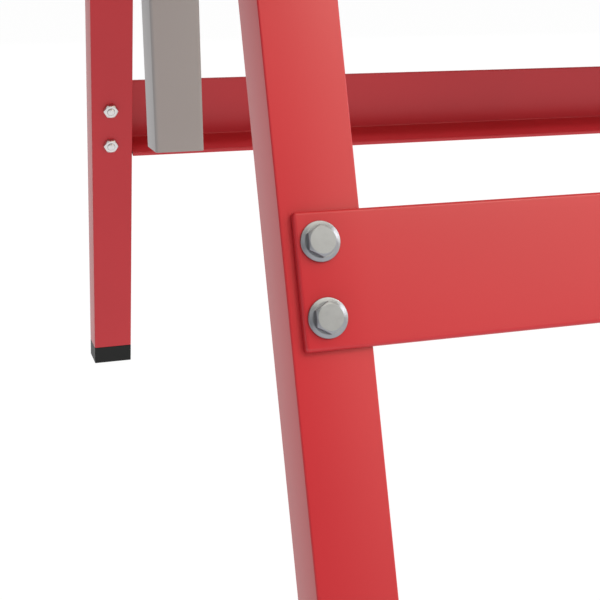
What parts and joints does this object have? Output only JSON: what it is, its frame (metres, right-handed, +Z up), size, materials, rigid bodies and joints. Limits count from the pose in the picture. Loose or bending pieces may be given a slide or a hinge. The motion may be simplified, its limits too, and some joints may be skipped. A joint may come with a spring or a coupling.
{
  "type": "workbench with drawers",
  "caption": "Height-adjustable workbench: splayed red steel end frames, bolted angle rails, telescoping grey columns, wooden top and a hung drawer unit.",
  "frame": {"origin": "on the floor, under the middle of the bench", "axes": "+X along the bench to the right as seen from the drawers' side, -Y towards the user (the drawers open to -Y), +Z up"},
  "size_m": [1.5, 1.02, 0.86],
  "materials": {
    "red_paint": "satin powder coat",
    "grey_paint": "satin powder coat",
    "tray_steel": "satin powder coat",
    "zinc_steel": "bright zinc plate",
    "black_plastic": "moulded matt",
    "handle_black": "satin powder coat",
    "beech_top": "oiled beech"
  },
  "bodies": {
    "base": {"top_beam_left": "red_paint", "sleeve_liner_left": "black_plastic", "leg_front_left": "red_paint", "foot_cap_front_left": "black_plastic", "rail_bolt_front_left_lower": "zinc_steel", "rail_nut_front_left_lower": "zinc_steel", "rail_bolt_front_left_upper": "zinc_steel", "rail_nut_front_left_upper": "zinc_steel", "leg_rear_left": "red_paint", "foot_cap_rear_left": "black_plastic", "rail_bolt_rear_left_lower": "zinc_steel", "rail_nut_rear_left_lower": "zinc_steel", "rail_bolt_rear_left_upper": "zinc_steel", "rail_nut_rear_left_upper": "zinc_steel", "top_beam_right": "red_paint", "sleeve_liner_right": "black_plastic", "leg_front_right": "red_paint", "foot_cap_front_right": "black_plastic", "rail_bolt_front_right_lower": "zinc_steel", "rail_nut_front_right_lower": "zinc_steel", "rail_bolt_front_right_upper": "zinc_steel", "rail_nut_front_right_upper": "zinc_steel", "leg_rear_right": "red_paint", "foot_cap_rear_right": "black_plastic", "rail_bolt_rear_right_lower": "zinc_steel", "rail_nut_rear_right_lower": "zinc_steel", "rail_bolt_rear_right_upper": "zinc_steel", "rail_nut_rear_right_upper": "zinc_steel", "rail_front": "red_paint", "rail_rear": "red_paint"},
    "table": {"column_left": "grey_paint", "column_head_left": "grey_paint", "column_right": "grey_paint", "column_head_right": "grey_paint", "tie_beam": "grey_paint", "worktop": "beech_top", "drawer_case": "grey_paint", "slide_outer_top_left": "zinc_steel", "slide_outer_top_right": "zinc_steel", "slide_outer_middle_left": "zinc_steel", "slide_outer_middle_right": "zinc_steel", "slide_outer_bottom_left": "zinc_steel", "slide_outer_bottom_right": "zinc_steel"},
    "clamp_knob_left": {"clamp_knob_left": "black_plastic"},
    "clamp_knob_right": {"clamp_knob_right": "black_plastic"},
    "drawer_top": {"drawer_tray_top": "tray_steel", "drawer_front_top": "red_paint", "drawer_handle_top": "handle_black"},
    "slides_top": {"slide_middle_top_left": "zinc_steel", "slide_middle_top_right": "zinc_steel"},
    "drawer_middle": {"drawer_tray_middle": "tray_steel", "drawer_front_middle": "red_paint", "drawer_handle_middle": "handle_black"},
    "slides_middle": {"slide_middle_middle_left": "zinc_steel", "slide_middle_middle_right": "zinc_steel"},
    "drawer_bottom": {"drawer_tray_bottom": "tray_steel", "drawer_front_bottom": "red_paint", "drawer_handle_bottom": "handle_black"},
    "slides_bottom": {"slide_middle_bottom_left": "zinc_steel", "slide_middle_bottom_right": "zinc_steel"}
  },
  "joints": [
    {"name": "height_adjust", "type": "slide", "parent": "base", "child": "table", "axis": [0, 0, 1], "range_m": [0, 0.15]},
    {"name": "clamp_turn_left", "type": "hinge", "parent": "base", "child": "clamp_knob_left", "pos_m": [-0.6675, 0, 0.56], "axis": [-1, 0, 0], "range_deg": [0, 360]},
    {"name": "clamp_turn_right", "type": "hinge", "parent": "base", "child": "clamp_knob_right", "pos_m": [0.6675, 0, 0.56], "axis": [1, 0, 0], "range_deg": [0, 360]},
    {"name": "drawer_slide_top", "type": "slide", "parent": "table", "child": "drawer_top", "axis": [0, -1, 0], "range_m": [0, 0.4]},
    {"name": "slide_extend_top", "type": "slide", "parent": "table", "child": "slides_top", "axis": [0, -1, 0], "range_m": [0, 0.2]},
    {"name": "drawer_slide_middle", "type": "slide", "parent": "table", "child": "drawer_middle", "axis": [0, -1, 0], "range_m": [0, 0.4]},
    {"name": "slide_extend_middle", "type": "slide", "parent": "table", "child": "slides_middle", "axis": [0, -1, 0], "range_m": [0, 0.2]},
    {"name": "drawer_slide_bottom", "type": "slide", "parent": "table", "child": "drawer_bottom", "axis": [0, -1, 0], "range_m": [0, 0.4]},
    {"name": "slide_extend_bottom", "type": "slide", "parent": "table", "child": "slides_bottom", "axis": [0, -1, 0], "range_m": [0, 0.2]}
  ],
  "couplings": [
    {"joint": "slide_extend_top", "follows": "drawer_slide_top", "ratio": 0.5},
    {"joint": "slide_extend_middle", "follows": "drawer_slide_middle", "ratio": 0.5},
    {"joint": "slide_extend_bottom", "follows": "drawer_slide_bottom", "ratio": 0.5}
  ]
}
